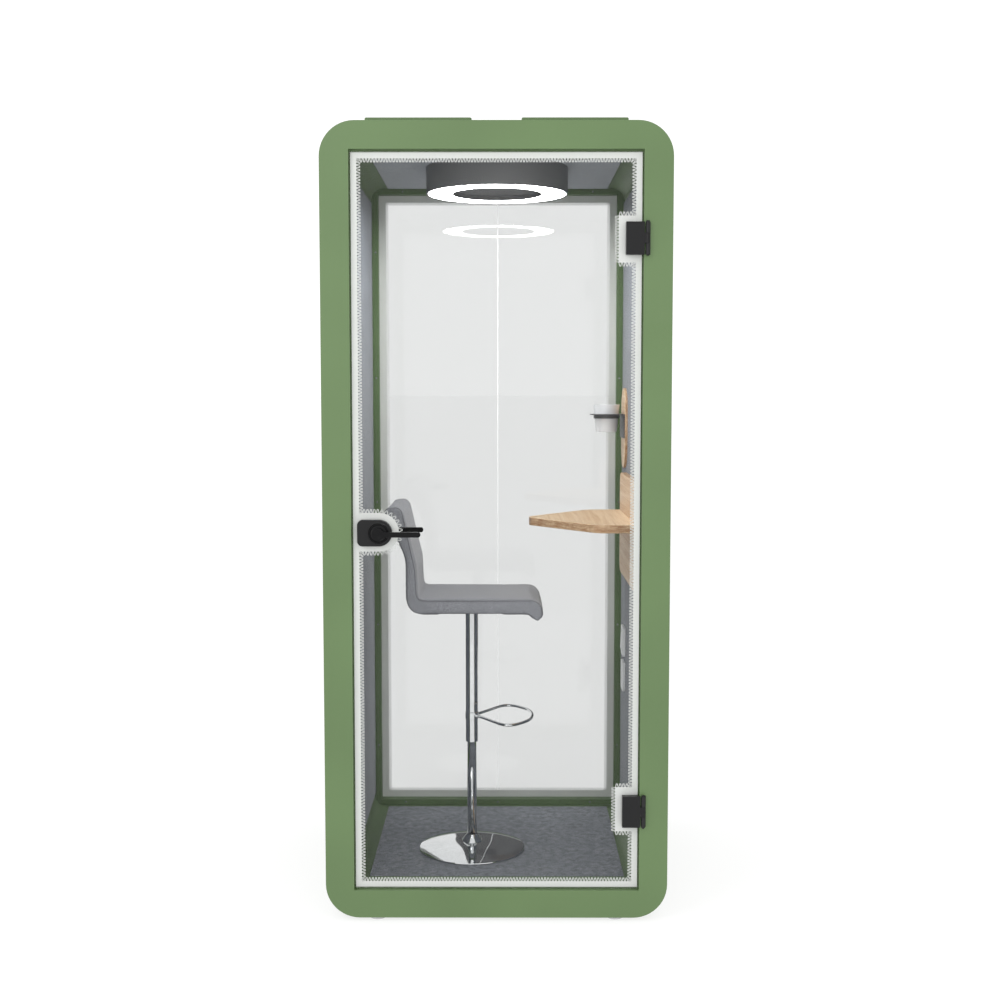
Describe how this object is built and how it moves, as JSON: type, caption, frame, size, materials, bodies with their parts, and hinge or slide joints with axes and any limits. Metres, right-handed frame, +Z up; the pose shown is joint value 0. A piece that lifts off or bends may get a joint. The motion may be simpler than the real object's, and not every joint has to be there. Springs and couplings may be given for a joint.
{
  "type": "telephone booth",
  "caption": "Indoor single-person acoustic telephone booth with a hinged glass door, glazed rear wall, corner desk, ring lamp, roof fans and a height-adjustable stool.",
  "frame": {"origin": "on the floor, under the centre of the booth's box", "axes": "+Z up, the door faces -Y, +X is the hinge and desk side"},
  "size_m": [1, 1.06, 2.346],
  "materials": {
    "green_metal": "satin",
    "galvanised": "satin",
    "black_metal": "satin",
    "black_alloy": "satin",
    "steel": "satin",
    "chrome": "polished",
    "door_pane": "gloss",
    "rear_pane": "gloss",
    "clear_joint": "gloss",
    "rubber": "matte",
    "wool": "matte",
    "board": "matte",
    "wall_felt": "matte",
    "ceiling_felt": "matte",
    "carpet": "matte",
    "lamp_grey": "satin",
    "lens": "satin",
    "electronics": "matte",
    "black_plastic": "matte",
    "wood": "satin",
    "bracket_grey": "satin",
    "pot_glaze": "satin",
    "white_plastic": "gloss",
    "seat_fabric": "matte"
  },
  "bodies": {
    "booth": {"front_frame": "green_metal", "rear_frame": "green_metal", "corner_posts": "green_metal", "side_skins": "green_metal", "roof_skin": "green_metal", "floor_skin": "galvanised", "insulation": "wool", "lining_boards": "board", "floor_deck": "board", "wall_felts": "wall_felt", "ceiling_felt": "ceiling_felt", "carpet": "carpet", "levelling_feet": "steel", "glazing_beads": "green_metal", "bead_screws": "steel", "rear_glass_left": "rear_pane", "rear_glass_right": "rear_pane", "rear_seam": "clear_joint", "rear_gasket": "rubber", "door_seal": "rubber", "hinge_jamb_leaves": "black_metal", "hinge_pins": "steel", "strike_plate": "steel", "lamp_housing": "lamp_grey", "lamp_diffuser": "lens", "lamp_centre": "lamp_grey", "lamp_board": "electronics", "lamp_driver": "electronics", "roof_covers": "green_metal", "fan_housings": "black_plastic", "ceiling_grilles": "black_plastic", "cable_gland": "black_plastic", "desk_top": "wood", "desk_backboard": "wood", "desk_rods": "steel", "pot_disc": "wood", "pot_bracket": "bracket_grey", "switch_plate": "white_plastic", "socket_plate": "white_plastic", "wall_boxes": "galvanised", "stool_base": "chrome", "stool_tube": "chrome"},
    "door": {"door_glass": "door_pane", "hinge_clamps": "black_alloy", "hinge_screws": "steel", "lock_cases": "black_alloy"},
    "door_handle": {"lever_outer": "black_alloy", "lever_inner": "black_alloy"},
    "latch": {"latch_bolt": "black_metal"},
    "privacy": {"privacy_turn": "black_alloy"},
    "fan_left": {"fan_rotor_left": "black_plastic"},
    "fan_right": {"fan_rotor_right": "black_plastic"},
    "pot": {"pot": "pot_glaze"},
    "rocker": {"switch_rocker": "white_plastic"},
    "stool_lift": {"gas_rod": "steel"},
    "stool_seat": {"stool_sleeve": "chrome", "footrest": "chrome", "seat_plate": "steel", "seat_pad": "seat_fabric"},
    "lift_lever": {"lift_lever": "chrome"}
  },
  "joints": [
    {"name": "door_hinge", "type": "hinge", "parent": "booth", "child": "door", "pos_m": [0.427, -0.4795, 1.155], "axis": [0, 0, 1], "range_deg": [0, 100]},
    {"name": "handle_turn", "type": "hinge", "parent": "door", "child": "door_handle", "pos_m": [-0.337, -0.47, 1.145], "axis": [0, 1, 0], "range_deg": [0, 45], "stiffness_Nm_per_rad": 1, "springref_deg": -28.65},
    {"name": "latch_slide", "type": "slide", "parent": "door", "child": "latch", "axis": [1, 0, 0], "range_m": [0, 0.0121]},
    {"name": "privacy_turn", "type": "hinge", "parent": "door", "child": "privacy", "pos_m": [-0.381, -0.42, 1.145], "axis": [0, 1, 0], "range_deg": [0, 90]},
    {"name": "fan_left_spin", "type": "hinge", "parent": "booth", "child": "fan_left", "pos_m": [-0.229, -0.235, 2.32], "axis": [0, 0, 1], "continuous": true},
    {"name": "fan_right_spin", "type": "hinge", "parent": "booth", "child": "fan_right", "pos_m": [0.229, -0.235, 2.32], "axis": [0, 0, 1], "continuous": true},
    {"name": "pot_lift", "type": "slide", "parent": "booth", "child": "pot", "axis": [0, 0, 1], "range_m": [0, 0.12]},
    {"name": "switch_tilt", "type": "hinge", "parent": "booth", "child": "rocker", "pos_m": [0.429, 0.31, 0.692], "axis": [0, 1, 0], "range_deg": [-6, 0]},
    {"name": "stool_height", "type": "slide", "parent": "booth", "child": "stool_lift", "axis": [0, 0, 1], "range_m": [-0.2, 0.03]},
    {"name": "stool_swivel", "type": "hinge", "parent": "stool_lift", "child": "stool_seat", "pos_m": [-0.082, -0.001, 0.61], "axis": [0, 0, 1], "range_deg": [-90, 90]},
    {"name": "lift_lever_pull", "type": "hinge", "parent": "stool_seat", "child": "lift_lever", "pos_m": [-0.042, 0.019, 0.837], "axis": [1, 0, 0], "range_deg": [0, 5], "stiffness_Nm_per_rad": 2, "springref_deg": -5.73}
  ],
  "couplings": [
    {"joint": "latch_slide", "follows": "handle_turn", "m_per_rad": 0.015279}
  ]
}
